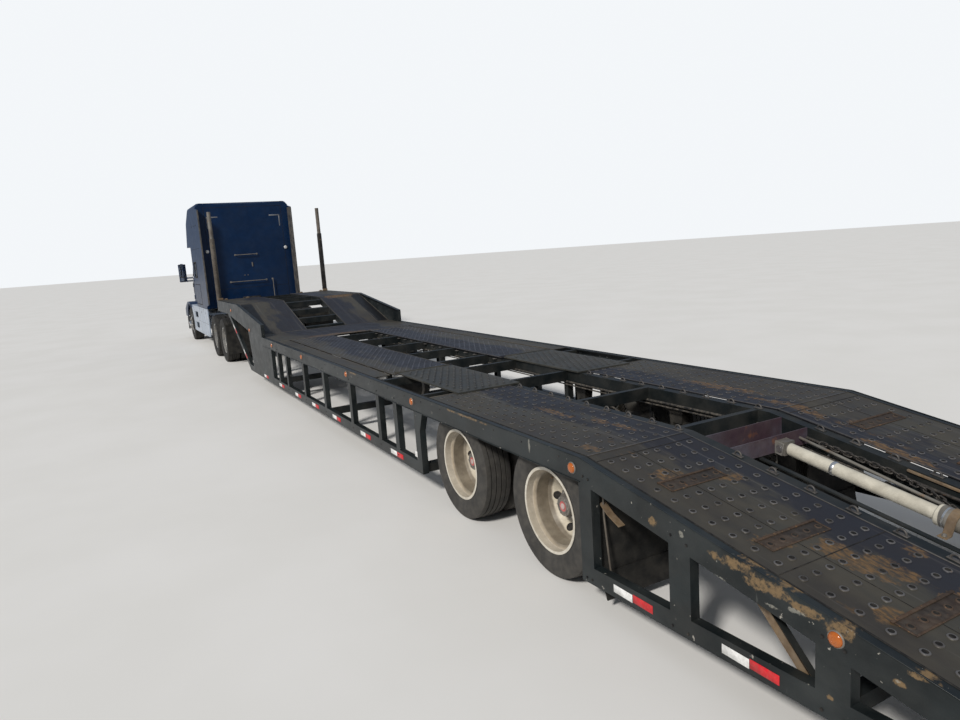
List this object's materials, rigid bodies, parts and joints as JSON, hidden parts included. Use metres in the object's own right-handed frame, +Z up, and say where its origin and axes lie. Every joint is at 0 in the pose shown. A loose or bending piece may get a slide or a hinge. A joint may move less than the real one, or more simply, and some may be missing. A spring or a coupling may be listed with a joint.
{
  "type": "car transporter truck",
  "caption": "Open car transporter: a sleeper tractor with a sloping-deck car-carrier semitrailer, lattice side frames and tall head posts, hinged at the fifth wheel.",
  "frame": {"origin": "on the ground, midway between the deck's rear end and the bumper, on the centre line", "axes": "+X forward along the lorry, +Y to its left, +Z up"},
  "size_m": [24, 2.88, 3.84],
  "materials": {
    "trailer_paint": "satin",
    "deck_steel": "worn",
    "post_paint": "worn",
    "black_steel": "satin",
    "greasy_steel": "greased",
    "engine_iron": "matt",
    "cylinder_paint": "worn",
    "tyre_rubber": "matt",
    "mud_rubber": "matt",
    "wheel_steel": "dusty",
    "bright_aluminium": "satin",
    "cab_paint": "gloss",
    "window_glass": "clear",
    "chrome_trim": "polished",
    "lamp_plastic": "clear",
    "marker_plastic": "clear",
    "interior_plastic": "matt"
  },
  "bodies": {
    "trailer": {"side_frame_left": "trailer_paint", "side_frame_right": "trailer_paint", "inner_rails": "trailer_paint", "cross_members": "trailer_paint", "belly_beams": "trailer_paint", "deck_plates": "deck_steel", "flap_hinges": "deck_steel", "head_posts": "post_paint", "coupler": "trailer_paint", "trailer_axles": "black_steel", "landing_legs": "black_steel", "trailer_mud_flaps": "mud_rubber", "air_tanks": "black_steel", "cylinders": "cylinder_paint", "trailer_lamps": "marker_plastic"},
    "flap_left": {"flap_left": "deck_steel"},
    "flap_right": {"flap_right": "deck_steel"},
    "tractor": {"tractor_frame": "black_steel", "fifth_wheel": "greasy_steel", "engine_block": "engine_iron", "drive_axles": "black_steel", "front_axle": "black_steel", "fuel_tanks": "bright_aluminium", "side_fairings": "cab_paint", "cab_shell": "cab_paint", "fixed_glass": "window_glass", "sleeper_shell": "cab_paint", "sleeper_fittings": "chrome_trim", "bumper": "chrome_trim", "cab_interior": "interior_plastic", "drive_mud_flaps": "mud_rubber"},
    "door_left": {"door_left": "cab_paint", "door_glass_left": "window_glass"},
    "door_right": {"door_right": "cab_paint", "door_glass_right": "window_glass"},
    "hood": {"hood": "cab_paint", "grille": "chrome_trim", "head_lamps": "lamp_plastic"},
    "knuckle_left": {"knuckle_left": "black_steel"},
    "knuckle_right": {"knuckle_right": "black_steel"},
    "wheels_rear_left": {"tyre_rear_left": "tyre_rubber", "wheel_rear_left": "wheel_steel"},
    "wheels_rear_right": {"tyre_rear_right": "tyre_rubber", "wheel_rear_right": "wheel_steel"},
    "wheels_front_left": {"tyre_front_left": "tyre_rubber", "wheel_front_left": "wheel_steel"},
    "wheels_front_right": {"tyre_front_right": "tyre_rubber", "wheel_front_right": "wheel_steel"},
    "wheels_drive_rear_left": {"tyre_drive_rear_left": "tyre_rubber", "wheel_drive_rear_left": "bright_aluminium"},
    "wheels_drive_rear_right": {"tyre_drive_rear_right": "tyre_rubber", "wheel_drive_rear_right": "bright_aluminium"},
    "wheels_drive_front_left": {"tyre_drive_front_left": "tyre_rubber", "wheel_drive_front_left": "bright_aluminium"},
    "wheels_drive_front_right": {"tyre_drive_front_right": "tyre_rubber", "wheel_drive_front_right": "bright_aluminium"},
    "wheels_steer_left": {"tyre_steer_left": "tyre_rubber", "wheel_steer_left": "bright_aluminium"},
    "wheels_steer_right": {"tyre_steer_right": "tyre_rubber", "wheel_steer_right": "bright_aluminium"}
  },
  "joints": [
    {"name": "fifth_wheel_turn", "type": "hinge", "parent": "trailer", "child": "tractor", "pos_m": [4.95, 0, 1.16], "axis": [0, 0, 1], "range_deg": [-75, 75]},
    {"name": "flap_left_lift", "type": "hinge", "parent": "trailer", "child": "flap_left", "pos_m": [-5.885, 0.6575, 0.9773], "axis": [0, 1, 0], "range_deg": [0, 105]},
    {"name": "flap_right_lift", "type": "hinge", "parent": "trailer", "child": "flap_right", "pos_m": [-5.885, -0.6575, 0.9773], "axis": [0, 1, 0], "range_deg": [0, 105]},
    {"name": "hood_tilt", "type": "hinge", "parent": "tractor", "child": "hood", "pos_m": [11.895, 0, 0.83], "axis": [0, 1, 0], "range_deg": [0, 75]},
    {"name": "door_left_swing", "type": "hinge", "parent": "tractor", "child": "door_left", "pos_m": [10.246, 1.062, 1.51], "axis": [0, 0, -1], "range_deg": [0, 70]},
    {"name": "door_right_swing", "type": "hinge", "parent": "tractor", "child": "door_right", "pos_m": [10.246, -1.062, 1.51], "axis": [0, 0, 1], "range_deg": [0, 70]},
    {"name": "steer_left", "type": "hinge", "parent": "tractor", "child": "knuckle_left", "pos_m": [10.75, 0.83, 0.505], "axis": [0, 0, 1], "range_deg": [-35, 35]},
    {"name": "steer_right", "type": "hinge", "parent": "tractor", "child": "knuckle_right", "pos_m": [10.75, -0.83, 0.505], "axis": [0, 0, 1], "range_deg": [-35, 35]},
    {"name": "roll_rear_left", "type": "hinge", "parent": "trailer", "child": "wheels_rear_left", "pos_m": [-9.05, 0.95, 0.465], "axis": [0, 1, 0], "continuous": true},
    {"name": "roll_rear_right", "type": "hinge", "parent": "trailer", "child": "wheels_rear_right", "pos_m": [-9.05, -0.95, 0.465], "axis": [0, 1, 0], "continuous": true},
    {"name": "roll_front_left", "type": "hinge", "parent": "trailer", "child": "wheels_front_left", "pos_m": [-7.73, 0.95, 0.465], "axis": [0, 1, 0], "continuous": true},
    {"name": "roll_front_right", "type": "hinge", "parent": "trailer", "child": "wheels_front_right", "pos_m": [-7.73, -0.95, 0.465], "axis": [0, 1, 0], "continuous": true},
    {"name": "roll_drive_rear_left", "type": "hinge", "parent": "tractor", "child": "wheels_drive_rear_left", "pos_m": [4.4, 0.942, 0.505], "axis": [0, 1, 0], "continuous": true},
    {"name": "roll_drive_rear_right", "type": "hinge", "parent": "tractor", "child": "wheels_drive_rear_right", "pos_m": [4.4, -0.942, 0.505], "axis": [0, 1, 0], "continuous": true},
    {"name": "roll_drive_front_left", "type": "hinge", "parent": "tractor", "child": "wheels_drive_front_left", "pos_m": [5.72, 0.942, 0.505], "axis": [0, 1, 0], "continuous": true},
    {"name": "roll_drive_front_right", "type": "hinge", "parent": "tractor", "child": "wheels_drive_front_right", "pos_m": [5.72, -0.942, 0.505], "axis": [0, 1, 0], "continuous": true},
    {"name": "roll_steer_left", "type": "hinge", "parent": "knuckle_left", "child": "wheels_steer_left", "pos_m": [10.75, 1.185, 0.505], "axis": [0, 1, 0], "continuous": true},
    {"name": "roll_steer_right", "type": "hinge", "parent": "knuckle_right", "child": "wheels_steer_right", "pos_m": [10.75, -1.185, 0.505], "axis": [0, 1, 0], "continuous": true}
  ]
}
